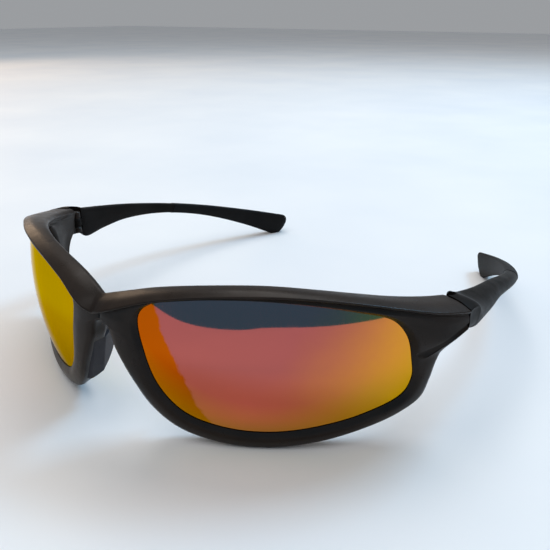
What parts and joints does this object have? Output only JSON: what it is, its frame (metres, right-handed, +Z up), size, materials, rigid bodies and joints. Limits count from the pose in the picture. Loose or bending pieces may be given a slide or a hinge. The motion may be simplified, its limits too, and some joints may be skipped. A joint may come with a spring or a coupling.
{
  "type": "wraparound sport sunglasses",
  "caption": "Wraparound sunglasses with a moulded full-rim front, curved mirrored lenses, soft nose pads and hooked temples that fold inwards on moulded hinges.",
  "frame": {"origin": "centre of the footprint, on the surface that the lower rims and the temple tips rest on", "axes": "+X towards the wearer's left, +Y from the front towards the temple tips, +Z up"},
  "size_m": [0.1386, 0.1505, 0.0398],
  "materials": {
    "frame_plastic": "satin black-brown moulded plastic",
    "temple_plastic": "satin black-brown moulded plastic",
    "mirror_lens": "polycarbonate with a red and gold mirror coating",
    "pad_rubber": "soft matt dark grey rubber",
    "grip_rubber": "matt black rubber",
    "screw_steel": "plated steel",
    "nut_brass": "turned brass",
    "washer_nylon": "black nylon"
  },
  "bodies": {
    "front": {"front_frame": "frame_plastic", "lens_left": "mirror_lens", "lens_right": "mirror_lens", "nose_pad_left": "pad_rubber", "nose_pad_right": "pad_rubber", "hinge_screw_left": "screw_steel", "hinge_screw_right": "screw_steel", "hinge_nut_left": "nut_brass", "hinge_nut_right": "nut_brass", "hinge_washer_lower_left": "washer_nylon", "hinge_washer_lower_right": "washer_nylon", "hinge_washer_upper_left": "washer_nylon", "hinge_washer_upper_right": "washer_nylon"},
    "left_arm": {"temple_left": "temple_plastic", "ear_grip_left": "grip_rubber"},
    "right_arm": {"temple_right": "temple_plastic", "ear_grip_right": "grip_rubber"}
  },
  "joints": [
    {"name": "left_temple_fold", "type": "hinge", "parent": "front", "child": "left_arm", "pos_m": [0.0619, -0.02567, 0.02775], "axis": [0, 0, 1], "range_deg": [0, 90]},
    {"name": "right_temple_fold", "type": "hinge", "parent": "front", "child": "right_arm", "pos_m": [-0.0619, -0.02567, 0.02775], "axis": [0, 0, -1], "range_deg": [0, 82]}
  ]
}
